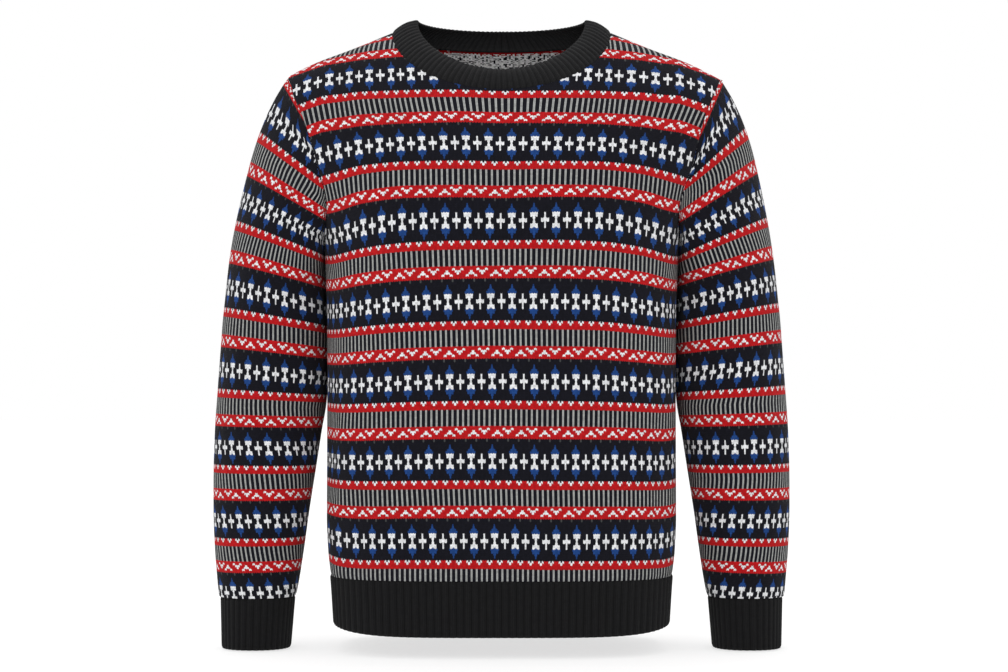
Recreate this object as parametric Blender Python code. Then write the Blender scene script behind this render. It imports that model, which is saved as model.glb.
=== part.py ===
"""Fair isle jumper with a crew neck, set-in sleeves and ribbed edges, filled out as if it were worn.

The frame is in metres with +Z up. The front faces -Y, and the wearer's left is at +X. The origin is
the middle of the neck's base, on the line of the shoulders. Sizes below are in millimetres.
"""

import math

import bmesh
import bpy
from mathutils import Vector

METRES = 0.001  # in a millimetre

# Cloth
WALL = 2.2  # the patterned knit
RIB_WALL = 2.0  # the ribbed edges, from the plain inside to the bottom of a groove
BAND_WALL = 2.6  # the neckband, which is doubled over
RIB_RELIEF = 1.0  # a rib's height over the groove beside it
SEAM_GAP = 0.3  # between two pieces that are sewn together

# Heights
UNDERARM = -250.0
RIB_TOP = -606.0
HEM_BOTTOM = -667.0
HEM_LIFT = 7.0  # the hem's sides ride up by this much
HEM_LIFT_POWER = 6  # how close to the side seams it does so

# Shoulder line, a hyperbola whose arms fall away to both sides
RIDGE_TOP = 39.0
RIDGE_ROUND = 60.0
SHOULDER_FALL = 0.458
SHOULDER_ROLL = 240.0  # the drop over which the shoulder rolls forward to the full chest
ROLL_POWER = 1.8
SHOULDER_TIP = 247.6

# Neck
NECK_HALF_WIDTH = 122.0
FRONT_NECK = {"bottom": -73.6, "squareness": 1.75}
BACK_NECK = {"bottom": -11.3, "squareness": 2.2}
BAND_TOP = {"half_width": 95.0, "side": 18.0, "squareness": 1.85}
FRONT_BAND = {"top": -50.0, "depth": 68.0}
BACK_BAND = {"top": 15.0, "depth": 52.0}
BAND_BULGE = 3.0
BULGE_PLACE = 0.55  # share of the band's height at which it bulges
BAND_CLEARANCE = 1.4  # seam gaps from the neckline to the band, which meets it at a slant

# How finely each piece is divided
HALF_COLUMNS = 16  # from the middle of a panel to its side
NECK_COLUMNS = 9  # of those, the ones that end on the neckline
LOWER_ROWS = 8  # from the rib to the underarm
UPPER_ROWS = 12  # from the underarm to the shoulder, and half the points round a sleeve
SECTION_STEPS = 90
HEM_SPLIT = 4  # rib edges for each column of a panel
CUFF_SPLIT = 3
BAND_SPLIT = 6
SHARP_ANGLE = 50.0  # edges sharper than this are shown as edges

FRONT = -1
BACK = 1

# The body's level sections: half its width, how far its front and back stand out, and how square it is
BODY = (
    {"height": 40, "width": 270, "front": 98, "back": 108, "square": 3.4},
    {"height": -50, "width": 265, "front": 98, "back": 109, "square": 3.4},
    {"height": -80, "width": 258, "front": 102, "back": 111, "square": 3.3},
    {"height": -111, "width": 247, "front": 108, "back": 113, "square": 3.1},
    {"height": -161, "width": 226, "front": 115, "back": 116, "square": 2.8},
    {"height": -200, "width": 209, "front": 118.5, "back": 116, "square": 2.65},
    {"height": -225, "width": 202.5, "front": 119.5, "back": 115.5, "square": 2.6},
    {"height": -250, "width": 199, "front": 119.5, "back": 115, "square": 2.6},
    {"height": -300, "width": 196.6, "front": 118, "back": 112, "square": 2.8},
    {"height": -350, "width": 196, "front": 115, "back": 109, "square": 3.0},
    {"height": -420, "width": 196, "front": 111.5, "back": 106, "square": 3.2},
    {"height": -540, "width": 196, "front": 109, "back": 105, "square": 3.4},
    {"height": -580, "width": 194.5, "front": 108.5, "back": 105, "square": 3.5},
    {"height": -606, "width": 192.5, "front": 107.5, "back": 104.5, "square": 3.5},
    {"height": -667, "width": 189.0, "front": 107, "back": 104.5, "square": 3.5},
)

# The armhole's edge: how far up it lies between underarm and shoulder tip, and how far from the middle
ARMHOLE = (
    {"share": 0.0, "reach": 199},
    {"share": 0.155, "reach": 195},
    {"share": 0.25, "reach": 193},
    {"share": 0.358, "reach": 196},
    {"share": 0.445, "reach": 201},
    {"share": 0.61, "reach": 209},
    {"share": 0.756, "reach": 218},
    {"share": 0.851, "reach": 228},
    {"share": 0.95, "reach": 240.5},
    {"share": 1.0, "reach": SHOULDER_TIP},
)
BACK_ARMHOLE_EASE = 6.0  # the back is cut this much less deep into the shoulder
SLEEVE_SET_BACK = (1.5, 0.0, -1.0)  # from the armhole's edge to the sleeve's, in seam gaps

# Rings round the sleeve, from the armhole to the cuff: the outer and the inner line of the arm,
# half its depth, and how far its middle lies in front of the shoulder seam
SLEEVE = (
    {"outer": 248.0, "outer_z": -50.6, "inner": 199.6, "inner_z": -250.6, "depth": 60, "forward": 2},
    {"outer": 261.5, "outer_z": -75, "inner": 199.8, "inner_z": -256.5, "depth": 62, "forward": 2},
    {"outer": 273, "outer_z": -102, "inner": 199.8, "inner_z": -262.5, "depth": 63.5, "forward": 2},
    {"outer": 282.5, "outer_z": -132, "inner": 199.5, "inner_z": -269.5, "depth": 64.5, "forward": 2},
    {"outer": 290, "outer_z": -165, "inner": 199.0, "inner_z": -277.5, "depth": 65, "forward": 2},
    {"outer": 296.3, "outer_z": -198, "inner": 198.5, "inner_z": -287, "depth": 64.5, "forward": 2},
    {"outer": 302, "outer_z": -231, "inner": 198.1, "inner_z": -298, "depth": 64, "forward": 2},
    {"outer": 307, "outer_z": -264, "inner": 197.8, "inner_z": -312, "depth": 63, "forward": 2},
    {"outer": 311.3, "outer_z": -298, "inner": 197.6, "inner_z": -330, "depth": 62, "forward": 2},
    {"outer": 315.3, "outer_z": -334, "inner": 197.6, "inner_z": -353, "depth": 60.5, "forward": 2},
    {"outer": 318.8, "outer_z": -371, "inner": 198.2, "inner_z": -381, "depth": 58.5, "forward": 2},
    {"outer": 321.6, "outer_z": -409, "inner": 200.6, "inner_z": -413, "depth": 56, "forward": 2.5},
    {"outer": 323.8, "outer_z": -448, "inner": 206.0, "inner_z": -449, "depth": 53, "forward": 3.5},
    {"outer": 324.6, "outer_z": -490, "inner": 212.0, "inner_z": -490, "depth": 50, "forward": 5},
    {"outer": 324.3, "outer_z": -534, "inner": 218.3, "inner_z": -534, "depth": 46.5, "forward": 6.5},
    {"outer": 322.2, "outer_z": -578, "inner": 224.5, "inner_z": -578, "depth": 42.5, "forward": 8.5},
    {"outer": 319.3, "outer_z": -612, "inner": 228.8, "inner_z": -612, "depth": 39, "forward": 10},
    {"outer": 318.0, "outer_z": -631, "inner": 231.3, "inner_z": -631, "depth": 36.5, "forward": 11},
)
CUFF = (
    {"outer": 318.0, "outer_z": -631.3, "inner": 231.3, "inner_z": -631.3, "depth": 36.5, "forward": 11},
    {"outer": 314.8, "outer_z": -689, "inner": 236.8, "inner_z": -689, "depth": 33, "forward": 12.5},
)
SLEEVE_SQUARENESS = 2.2
ARMHOLE_EASE_RINGS = 7  # rings over which the armhole's shape runs out into the arm's

FINISHES = {
    "patterned_knit": {"colour": (0.16, 0.05, 0.07, 1.0), "roughness": 0.9},
    "rib_knit": {"colour": (0.012, 0.012, 0.013, 1.0), "roughness": 0.9},
}


# --- Curves and sections ---------------------------------------------------------------------------


def smooth_value(rows, place, wanted, at):
    """Value of a table's column on a smooth curve through its rows, without overshoot."""
    rows = sorted(rows, key=lambda row: row[place])
    places = [row[place] for row in rows]
    values = [row[wanted] for row in rows]
    at = min(max(at, places[0]), places[-1])
    slopes = [(values[i + 1] - values[i]) / (places[i + 1] - places[i]) for i in range(len(rows) - 1)]
    bends = [slopes[0]]
    for before, after in zip(slopes, slopes[1:]):
        same_way = before * after > 0
        bends.append(2 * before * after / (before + after) if same_way else 0.0)
    bends.append(slopes[-1])
    i = max(k for k in range(len(rows) - 1) if places[k] <= at)
    span = places[i + 1] - places[i]
    t = (at - places[i]) / span
    start = (1 + 2 * t) * (1 - t) ** 2 * values[i] + t * (1 - t) ** 2 * span * bends[i]
    end = t * t * (3 - 2 * t) * values[i + 1] + t * t * (t - 1) * span * bends[i + 1]
    return start + end


def round_off(share, power):
    """Height of a rounded corner, from 0 at its start to 1 where it runs out level."""
    return (1 - (1 - min(max(share, 0.0), 1.0)) ** power) ** (1 / power)


def squircle(angle, power):
    """Point on a rounded square of half width 1, as its share along the first and the second axis."""
    across, along = math.sin(angle), math.cos(angle)
    return (
        math.copysign(abs(across) ** (2 / power), across),
        math.copysign(abs(along) ** (2 / power), along),
    )


def ridge_height(x):
    """Height of the shoulder line at the distance x from the middle."""
    return RIDGE_TOP - SHOULDER_FALL * (math.hypot(x, RIDGE_ROUND) - RIDGE_ROUND)


def body_size(z, side):
    """Half width, depth and squareness of the body's level section on one side."""
    depth = "front" if side == FRONT else "back"
    return [smooth_value(BODY, "height", column, z) for column in ("width", depth, "square")]


def body_point(x, z, side):
    """Point of the body's outer surface at x and z."""
    width, depth, square = body_size(z, side)
    roll = round_off((ridge_height(x) - z) / SHOULDER_ROLL, ROLL_POWER)
    lateral = (1 - min(abs(x) / width, 1.0) ** square) ** (1 / square)
    return Vector((x, side * depth * roll * lateral, z))


def body_row(z, side, columns):
    """Points of a level row, evenly spaced along the cloth from one side seam to the other."""
    width, _, square = body_size(z, side)
    half = []
    for step in range(SECTION_STEPS + 1):
        across, _ = squircle(math.pi / 2 * step / SECTION_STEPS, square)
        half.append(body_point(width * across, z, side))
    lengths = [0.0]
    for before, after in zip(half, half[1:]):
        lengths.append(lengths[-1] + (after - before).length)
    row = []
    for column in range(columns + 1):
        wanted = (lengths[-1] - SEAM_GAP / 2) * column / columns
        i = max(k for k in range(SECTION_STEPS) if lengths[k] <= wanted)
        share = (wanted - lengths[i]) / (lengths[i + 1] - lengths[i])
        row.append(half[i].lerp(half[i + 1], share))
    mirrored = [Vector((-p.x, p.y, p.z)) for p in reversed(row[1:])]
    return mirrored + row


# --- Panels ----------------------------------------------------------------------------------------


def row_share(row):
    """Share of the way up from the underarm, with rows closer together at both ends."""
    return (1 - math.cos(math.pi * row / UPPER_ROWS)) / 2


def armhole_point(row, side):
    """Where a row of a panel ends on the armhole, on the wearer's left."""
    share = row_share(row)
    tip = ridge_height(SHOULDER_TIP)
    z = UNDERARM + share * (tip - UNDERARM)
    reach = smooth_value(ARMHOLE, "share", "reach", share)
    if side == BACK:
        reach += BACK_ARMHOLE_EASE * math.sin(math.pi * share)
    point = body_point(reach, z, side)
    point.y = side * max(abs(point.y), SEAM_GAP / 2)
    return point


def neckline_point(share, side):
    """Point of the neckline, from the middle at share 0 to the shoulder at share 1."""
    shape = FRONT_NECK if side == FRONT else BACK_NECK
    across, along = squircle(math.pi / 2 * share, shape["squareness"])
    top = ridge_height(NECK_HALF_WIDTH)
    x = NECK_HALF_WIDTH * across
    z = top - (top - shape["bottom"]) * along
    return body_point(x, z, side)


def top_edge(side):
    """Upper edge of half a panel: the neckline, then the shoulder seam out to its tip."""
    points = [neckline_point(column / NECK_COLUMNS, side) for column in range(NECK_COLUMNS)]
    rest = HALF_COLUMNS - NECK_COLUMNS
    for column in range(rest + 1):
        x = NECK_HALF_WIDTH + (SHOULDER_TIP - NECK_HALF_WIDTH) * column / rest
        points.append(Vector((x, side * SEAM_GAP / 2, ridge_height(x))))
    return points


def panel_rows(side):
    """The front or back as a grid, its rows going up and its columns from -X to +X."""
    rows = []
    for row in range(LOWER_ROWS + 1):
        z = RIB_TOP + (UNDERARM - RIB_TOP) * row / LOWER_ROWS
        rows.append(body_row(z, side, HALF_COLUMNS))
    bottom = rows[-1][HALF_COLUMNS:]
    top = top_edge(side)
    for row in range(1, UPPER_ROWS):
        share = row_share(row)
        edge = armhole_point(row, side)
        pull = edge.x - bottom[-1].x * (1 - share) - top[-1].x * share
        half = []
        for column in range(HALF_COLUMNS):
            across = column / HALF_COLUMNS
            x = bottom[column].x * (1 - share) + top[column].x * share + pull * across**2
            z = bottom[column].z * (1 - share) + top[column].z * share
            half.append(body_point(x, z, side))
        rows.append(both_halves(half + [edge]))
    rows.append(both_halves(top))
    return rows


def both_halves(half):
    """A whole row from the half that runs from the middle to +X."""
    return [Vector((-p.x, p.y, p.z)) for p in reversed(half[1:])] + half


# --- Sleeves and cuffs -----------------------------------------------------------------------------


def arm_point(ring, angle):
    """Point of a ring round the arm: outer line at angle 0, front at a quarter turn, then inner line."""
    along, across = squircle(angle, SLEEVE_SQUARENESS)
    centre = Vector((ring["outer"] + ring["inner"], 0, ring["outer_z"] + ring["inner_z"])) / 2
    reach = Vector((ring["outer"] - ring["inner"], 0, ring["outer_z"] - ring["inner_z"])) / 2
    point = centre + reach * across
    point.y = FRONT * (ring["forward"] + ring["depth"] * along)
    return point


def armhole_loop():
    """The armhole's edge from the shoulder tip down the front to the underarm and up the back."""
    loop = []
    for step in range(2 * UPPER_ROWS):
        if step <= UPPER_ROWS:
            point = armhole_point(UPPER_ROWS - step, FRONT)
        else:
            point = armhole_point(step - UPPER_ROWS, BACK)
        if step % UPPER_ROWS == 0:
            point.y = 0.0
        loop.append(point)
    return loop


def sleeve_rings():
    """The sleeve on the wearer's left as a grid, from the armhole to the cuff."""
    steps = 2 * UPPER_ROWS
    angles = [2 * math.pi * step / steps for step in range(steps)]
    away = Vector(SLEEVE_SET_BACK) * SEAM_GAP
    seam = [point + away for point in armhole_loop()]
    offsets = [seam[k] - arm_point(SLEEVE[0], angles[k]) for k in range(steps)]
    rings = []
    for number, ring in enumerate(SLEEVE):
        left = max(0.0, 1 - number / ARMHOLE_EASE_RINGS)
        kept = left * left * (3 - 2 * left)
        rings.append([arm_point(ring, a) + offset * kept for a, offset in zip(angles, offsets)])
    return rings


def cuff_rings(split):
    """The cuff on the wearer's left, with its points on the straight edges of the sleeve's end."""
    rings = []
    for ring in CUFF:
        corners = [arm_point(ring, math.pi * step / UPPER_ROWS) for step in range(2 * UPPER_ROWS)]
        rings.append(subdivided(corners, split, closed=True))
    return rings


def subdivided(points, split, closed):
    """The same line with each straight edge cut into equal parts."""
    ends = points[1:] + points[:1] if closed else points[1:]
    line = []
    for start, end in zip(points, ends):
        line += [start.lerp(end, k / split) for k in range(split)]
    return line if closed else line + [points[-1]]


# --- Hem ribs and neckband -------------------------------------------------------------------------


def hem_rows(side, split):
    """Half of the hem's rib, its points on the straight edges of the panel's lower end."""
    upper = subdivided(body_row(RIB_TOP - SEAM_GAP, side, HALF_COLUMNS), split, closed=False)
    lower = subdivided(body_row(HEM_BOTTOM, side, HALF_COLUMNS), split, closed=False)
    for point in lower:
        point.z += HEM_LIFT * abs(point.x / lower[-1].x) ** HEM_LIFT_POWER
    return [upper, lower]


def neck_place(number):
    """Side and hand of a point of the neck's loop, and its place in that quarter of the neckline."""
    quarter, place = divmod(number / BAND_SPLIT, NECK_COLUMNS)
    side = FRONT if quarter in (0, 3) else BACK
    hand = 1 if quarter < 2 else -1
    return side, hand, NECK_COLUMNS - place if quarter in (1, 3) else place


def neck_loop():
    """Round the neckline from the middle of the front by +X: its seam points and the band's top."""
    seam, top = [], []
    for number in range(4 * NECK_COLUMNS * BAND_SPLIT):
        side, hand, place = neck_place(number)
        low, high = math.floor(place), math.ceil(place)
        start, end = (neckline_point(k / NECK_COLUMNS, side) for k in (low, high))
        point = start.lerp(end, place - low)
        seam.append(Vector((hand * point.x, point.y, point.z)))
        across, along = squircle(math.pi / 2 * place / NECK_COLUMNS, BAND_TOP["squareness"])
        band = FRONT_BAND if side == FRONT else BACK_BAND
        z = BAND_TOP["side"] + (band["top"] - BAND_TOP["side"]) * along
        depth = side * band["depth"] * math.cos(math.pi / 2 * place / NECK_COLUMNS)
        top.append(Vector((hand * BAND_TOP["half_width"] * across, depth, z)))
    return seam, top


def band_rings(seam, top):
    """The neckband's outer face, from just clear of the neckline up to its top edge."""
    count = len(seam)
    rings = [[], [], []]
    for k in range(count):
        along = (seam[(k + 1) % count] - seam[k - 1]).normalized()
        rise = top[k] - seam[k]
        outward = along.cross(rise).normalized()
        start = seam[k] + rise.normalized() * SEAM_GAP * BAND_CLEARANCE
        rings[0].append(start)
        rings[1].append(start.lerp(top[k], BULGE_PLACE) + outward * BAND_BULGE)
        rings[2].append(top[k])
    return rings


# --- Walls -----------------------------------------------------------------------------------------


def surface_normals(grid, closed, outward):
    """Unit normals of a grid of points. outward is +1 or -1, so that they point out of the cloth."""
    normals = []
    for i, row in enumerate(grid):
        below, above = grid[max(i - 1, 0)], grid[min(i + 1, len(grid) - 1)]
        line = []
        for k in range(len(row)):
            if closed:
                across = row[(k + 1) % len(row)] - row[k - 1]
            else:
                across = row[min(k + 1, len(row) - 1)] - row[max(k - 1, 0)]
            line.append(outward * across.cross(above[k] - below[k]).normalized())
        normals.append(line)
    return normals


def level_out(normals, axis):
    """The same normals without their part along one axis, for edges that meet in a plane across it."""
    flat = []
    for normal in normals:
        changed = normal.copy()
        changed[axis] = 0.0
        flat.append(changed.normalized())
    return flat


def shared_normal(own, other):
    """Direction of the cut edge where two walls meet: halfway, unless the cloth folds back on itself."""
    weight = min(max(1 + own.dot(other), 0.0), 1.0)
    return (own + other * weight).normalized()


def inner_points(grid, normals, wall):
    """The wall's inside: every point moved in along its normal."""
    return [[p - n * wall for p, n in zip(row, line)] for row, line in zip(grid, normals)]


def ribbed(grid, normals, relief):
    """The grid with every second column raised by a rib's height."""
    return [
        [p + n * relief * (k % 2) for k, (p, n) in enumerate(zip(row, line))]
        for row, line in zip(grid, normals)
    ]


def make_wall(name, finish, outer, inner, closed):
    """A closed solid between two grids of the same size, joined along their open edges."""
    rows, columns = len(outer), len(outer[0])
    mesh = bmesh.new()
    faces = [[[mesh.verts.new(p * METRES) for p in row] for row in grid] for grid in (outer, inner)]
    spans = columns if closed else columns - 1
    for skin in faces:
        for i in range(rows - 1):
            for k in range(spans):
                after = (k + 1) % columns
                mesh.faces.new((skin[i][k], skin[i][after], skin[i + 1][after], skin[i + 1][k]))
    out, ins = faces
    for i in (0, rows - 1):
        for k in range(spans):
            after = (k + 1) % columns
            mesh.faces.new((out[i][k], out[i][after], ins[i][after], ins[i][k]))
    if not closed:
        for k in (0, columns - 1):
            for i in range(rows - 1):
                mesh.faces.new((out[i][k], out[i + 1][k], ins[i + 1][k], ins[i][k]))
    bmesh.ops.recalc_face_normals(mesh, faces=mesh.faces)
    data = bpy.data.meshes.new(name)
    mesh.to_mesh(data)
    mesh.free()
    data.shade_smooth()
    data.set_sharp_from_angle(angle=math.radians(SHARP_ANGLE))
    data.materials.append(make_finish(name, finish))
    made = bpy.data.objects.new(name, data)
    bpy.context.scene.collection.objects.link(made)
    return made


def make_finish(name, finish):
    """The piece's own material."""
    material = bpy.data.materials.new(f"{name}_{finish}")
    material.use_nodes = True
    shader = material.node_tree.nodes["Principled BSDF"]
    shader.inputs["Base Color"].default_value = FINISHES[finish]["colour"]
    shader.inputs["Roughness"].default_value = FINISHES[finish]["roughness"]
    shader.inputs["Metallic"].default_value = 0.0
    return material


def mirrored(grid):
    """The same grid on the other side of the body."""
    return [[Vector((-p.x, p.y, p.z)) for p in row] for row in grid]


# --- Cut edges, which are shared where two pieces meet ---------------------------------------------


def cut_panel_edges(normals):
    """Square up a panel's edges at the hem's rib, the side seams and the shoulder seams."""
    first_neck = HALF_COLUMNS - NECK_COLUMNS
    last_neck = HALF_COLUMNS + NECK_COLUMNS
    normals[0] = level_out(normals[0], 2)
    for row in range(LOWER_ROWS + 1):
        for end in (0, -1):
            normals[row][end] = level_out([normals[row][end]], 1)[0]
    upper = normals[-1]
    upper[:first_neck + 1] = level_out(upper[:first_neck + 1], 1)
    upper[last_neck:] = level_out(upper[last_neck:], 1)


def cut_necklines(panel_normals, band_normals):
    """Cut the panels and the neckband along the same directions round the neckline."""
    for side, normals in panel_normals.items():
        for from_middle in range(1 - NECK_COLUMNS, NECK_COLUMNS):
            column = HALF_COLUMNS + from_middle
            place = from_middle if side == FRONT else 2 * NECK_COLUMNS - from_middle
            number = place * BAND_SPLIT % len(band_normals[0])
            normals[-1][column] = shared_normal(normals[-1][column], band_normals[0][number])
    for number in range(len(band_normals[0])):
        side, hand, place = neck_place(number)
        low, high = math.floor(place), math.ceil(place)
        near, far = (panel_normals[side][-1][HALF_COLUMNS + k] for k in (low, high))
        cut = near.lerp(far, place - low).normalized()
        band_normals[0][number] = Vector((hand * cut.x, cut.y, cut.z))


def cut_armholes(panel_normals, sleeve_normals):
    """Cut the panels and the sleeve along the same directions round the armhole."""
    own_sleeve = list(sleeve_normals[0])
    for step in range(2 * UPPER_ROWS):
        at_seam = step % UPPER_ROWS == 0
        side = FRONT if step <= UPPER_ROWS else BACK
        row = LOWER_ROWS + abs(UPPER_ROWS - step)
        sleeve_normals[0][step] = shared_normal(own_sleeve[step], panel_normals[side][row][-1])
        for other in (FRONT, BACK) if at_seam else (side,):
            edge = shared_normal(panel_normals[other][row][-1], own_sleeve[step])
            if at_seam:
                edge = level_out([edge], 1)[0]
            panel_normals[other][row][-1] = edge
            panel_normals[other][row][0] = Vector((-edge.x, edge.y, edge.z))
    sleeve_normals[-1] = level_out(sleeve_normals[-1], 2)


# --- The jumper ------------------------------------------------------------------------------------


def make_hem_rib(name, side):
    """The ribbed lower edge of the front or back."""
    rows = hem_rows(side, HEM_SPLIT)
    normals = surface_normals(rows, closed=False, outward=side)
    for line in normals:
        line[:] = level_out(line, 2)
        line[0], line[-1] = level_out([line[0], line[-1]], 1)
    outside = ribbed(rows, normals, RIB_RELIEF)
    make_wall(name, "rib_knit", outside, inner_points(rows, normals, RIB_WALL), closed=False)


def make_arms(sleeve, sleeve_normals):
    """Both sleeves and both cuffs."""
    inside = inner_points(sleeve, sleeve_normals, WALL)
    cuff = cuff_rings(CUFF_SPLIT)
    cuff_normals = surface_normals(cuff, closed=True, outward=1)
    for line in cuff_normals:
        line[:] = level_out(line, 2)
    cuff_outside = ribbed(cuff, cuff_normals, RIB_RELIEF)
    cuff_inside = inner_points(cuff, cuff_normals, RIB_WALL)
    for hand, place in (("left", list), ("right", mirrored)):
        make_wall(f"sleeve_{hand}", "patterned_knit", place(sleeve), place(inside), closed=True)
        make_wall(f"cuff_{hand}", "rib_knit", place(cuff_outside), place(cuff_inside), closed=True)


def main():
    for old in list(bpy.data.objects):
        bpy.data.objects.remove(old, do_unlink=True)

    panels = {side: panel_rows(side) for side in (FRONT, BACK)}
    panel_normals = {
        side: surface_normals(rows, closed=False, outward=-side) for side, rows in panels.items()
    }
    sleeve = sleeve_rings()
    sleeve_normals = surface_normals(sleeve, closed=True, outward=1)
    band = band_rings(*neck_loop())
    band_normals = surface_normals(band, closed=True, outward=1)

    for normals in panel_normals.values():
        cut_panel_edges(normals)
    cut_necklines(panel_normals, band_normals)
    cut_armholes(panel_normals, sleeve_normals)

    for side, name in ((FRONT, "front"), (BACK, "back")):
        inside = inner_points(panels[side], panel_normals[side], WALL)
        make_wall(name, "patterned_knit", panels[side], inside, closed=False)
        make_hem_rib(f"hem_rib_{name}", side)
    make_arms(sleeve, sleeve_normals)
    outside = ribbed(band, band_normals, RIB_RELIEF)
    make_wall("neckband", "rib_knit", outside, inner_points(band, band_normals, BAND_WALL), closed=True)


main()
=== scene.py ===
import math

import bmesh
import bpy
import numpy as np
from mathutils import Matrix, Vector


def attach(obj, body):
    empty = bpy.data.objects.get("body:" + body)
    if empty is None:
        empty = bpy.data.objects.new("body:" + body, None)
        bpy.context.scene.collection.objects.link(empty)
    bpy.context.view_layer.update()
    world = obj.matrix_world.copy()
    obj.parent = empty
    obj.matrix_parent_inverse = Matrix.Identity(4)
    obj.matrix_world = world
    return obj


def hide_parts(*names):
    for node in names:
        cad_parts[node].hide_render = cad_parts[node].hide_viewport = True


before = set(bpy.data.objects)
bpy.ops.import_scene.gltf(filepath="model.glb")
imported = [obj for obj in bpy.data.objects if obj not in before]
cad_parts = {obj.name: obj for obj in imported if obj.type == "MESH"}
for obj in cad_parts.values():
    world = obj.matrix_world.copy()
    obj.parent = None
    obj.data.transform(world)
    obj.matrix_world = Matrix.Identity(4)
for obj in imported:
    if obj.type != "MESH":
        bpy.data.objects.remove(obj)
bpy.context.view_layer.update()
print("frame loaded")

mm = 0.001
front, back = -1, 1
right, left = -1, 1  # the wearer's

cloth = {
    "wall": 2.2,  # the patterned knit
    "ribWall": 2.0,
    "ribHeight": 1.0,  # a rib over the groove beside it
    "bandWall": 3.0,  # the neckband, doubled over
    "seamGap": 0.12,
    "seamDip": 0.7,  # how far the cloth sinks into a seam
    "seamReach": 3.0,  # and how far from it that starts
    "pitch": 3.1,  # between two points of a grid
    "fineSteps": [0.0, 0.6, 1.4, 2.5, 4.0, 6.0],  # distances from a seam, where the grid is finer
    "linePoints": 400,  # with which a level line is measured
    "joinDistance": 0.001,  # of points that are made one
}

knit = {
    "course": 2.375,  # height of a row of stitches
    "repeat": 36,  # rows before the bands start again
    "bandStarts": [0, 6, 8, 12, 19, 23, 24, 28, 36],
    "bandPlaces": [0, 5.55, 8.2, 12.45, 19.35, 23.6, 24.7, 28.5, 36],  # where they lie, some being tighter
    "firstColumn": 360.5,  # whole repeats, and half a stitch, that keep all counts above 0
    "firstRow": 36,
}

ribKnit = {
    "course": 2.2,
    "pitch": 3.2,
    "pointsPerRib": 10,
    "endDip": 0.9,  # how far the ribs sink at their seam and their edge
    "endReach": 1.6,
    "sideDip": 0.8,  # the same in the hem's side seams
    "sideReach": 2.5,
    "firstColumn": 200,
    "firstRow": 100,
}

body = {  # level sections: half width, how far front and back stand out, and how square each is
    "height": [-667, -606, -580, -540, -420, -350, -300, -250, -225, -200, -161, -111, -80, -50, 40],
    "width": [186.5, 190.3, 193.2, 195, 195, 195.5, 196.6, 199, 202.5, 209, 226, 247, 258, 265, 270],
    front: [107, 107.5, 108.5, 109, 111.5, 115, 118, 119.5, 119.5, 118.5, 115, 108, 102, 98, 98],
    back: [104.5, 104.5, 105, 105, 106, 109, 112, 115, 115.5, 116, 116, 113, 111, 109, 108],
    "square": [3.5, 3.5, 3.5, 3.4, 3.2, 3.0, 2.8, 2.6, 2.6, 2.65, 2.8, 3.1, 3.3, 3.4, 3.4],
    "underarm": -250.0,
    "ribTop": -606.0,
    "ridgeTop": 39.0,
    "ridgeRound": 60.0,
    "shoulderFall": 0.458,
    "shoulderPad": [3.2, 214, 36],  # rise, place and reach of the shoulder's fullness
    "shoulderRoll": 240.0,
    "rollPower": 1.8,
    "shoulderTip": 247.6,
}

armhole = {  # from the underarm up to the shoulder tip
    "share": [0, 0.155, 0.25, 0.358, 0.445, 0.61, 0.756, 0.851, 0.95, 1],
    "reach": [199, 195, 193, 196, 201, 209, 218, 228, 240.5, 247.6],
    "backEase": 6.0,
    "middle": (150, 0, -150),  # the cloth beside the armhole sinks towards this place
    "easeShare": [0, 0.15, 0.3, 0.45, 0.55, 0.75, 0.88, 0.95, 1],
    "ease": {  # how much further out it is cut
        right: [0, 0, 0, 0.5, 1, 3, 1.2, -3.8, -6],
        left: [0, 2.5, 4.5, 8, 9, 8.5, 5.7, 3.2, 0.8],
    },
}

neck = {
    "halfWidth": 123.2,
    "bottom": {front: -71.9, back: -6.5},
    "square": {front: 1.96, back: 2.2},
    "columnShare": 9 / 16,  # of a panel's columns, those that end on the neckline
}


# curves and sections

def smoothCurve(places, values, at):  # a smooth curve through the values, without overshoot
    places, values = np.asarray(places, float), np.asarray(values, float)
    slopes = np.diff(values) / np.diff(places)
    sameWay = slopes[:-1] * slopes[1:] > 0
    total = np.where(sameWay, slopes[:-1] + slopes[1:], 1.0)
    inner = np.where(sameWay, 2 * slopes[:-1] * slopes[1:] / total, 0.0)
    bends = np.concatenate([slopes[:1], inner, slopes[-1:]])
    at = np.clip(at, places[0], places[-1])
    i = np.clip(np.searchsorted(places, at, side="right") - 1, 0, len(places) - 2)
    span = places[i + 1] - places[i]
    t = (at - places[i]) / span
    start = (1 + 2 * t) * (1 - t) ** 2 * values[i] + t * (1 - t) ** 2 * span * bends[i]
    end = t * t * (3 - 2 * t) * values[i + 1] + t * t * (t - 1) * span * bends[i + 1]
    return start + end


def roundOff(share, power):
    return (1 - (1 - np.clip(share, 0, 1)) ** power) ** (1 / power)


def squircle(angle, power):
    return [np.sign(part) * np.abs(part) ** (2 / power) for part in (np.sin(angle), np.cos(angle))]


def fade(share):  # a soft step from 0 to 1
    share = np.clip(share, 0, 1)
    return share * share * (3 - 2 * share)


def ridgeHeight(x):
    rise, place, reach = body["shoulderPad"]
    fall = body["shoulderFall"] * (np.hypot(x, body["ridgeRound"]) - body["ridgeRound"])
    return body["ridgeTop"] - fall + rise * np.exp(-(((np.abs(x) - place) / reach) ** 2))


def bodyPoint(x, z, side):
    x, z = np.broadcast_arrays(np.asarray(x, float), np.asarray(z, float))
    width = smoothCurve(body["height"], body["width"], z)
    depth = smoothCurve(body["height"], body[side], z)
    square = smoothCurve(body["height"], body["square"], z)
    roll = roundOff((ridgeHeight(x) - z) / body["shoulderRoll"], body["rollPower"])
    lateral = (1 - np.clip(np.abs(x) / width, 0, 1) ** square) ** (1 / square)
    return np.stack([x, side * depth * roll * lateral, z], axis=-1)


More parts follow.
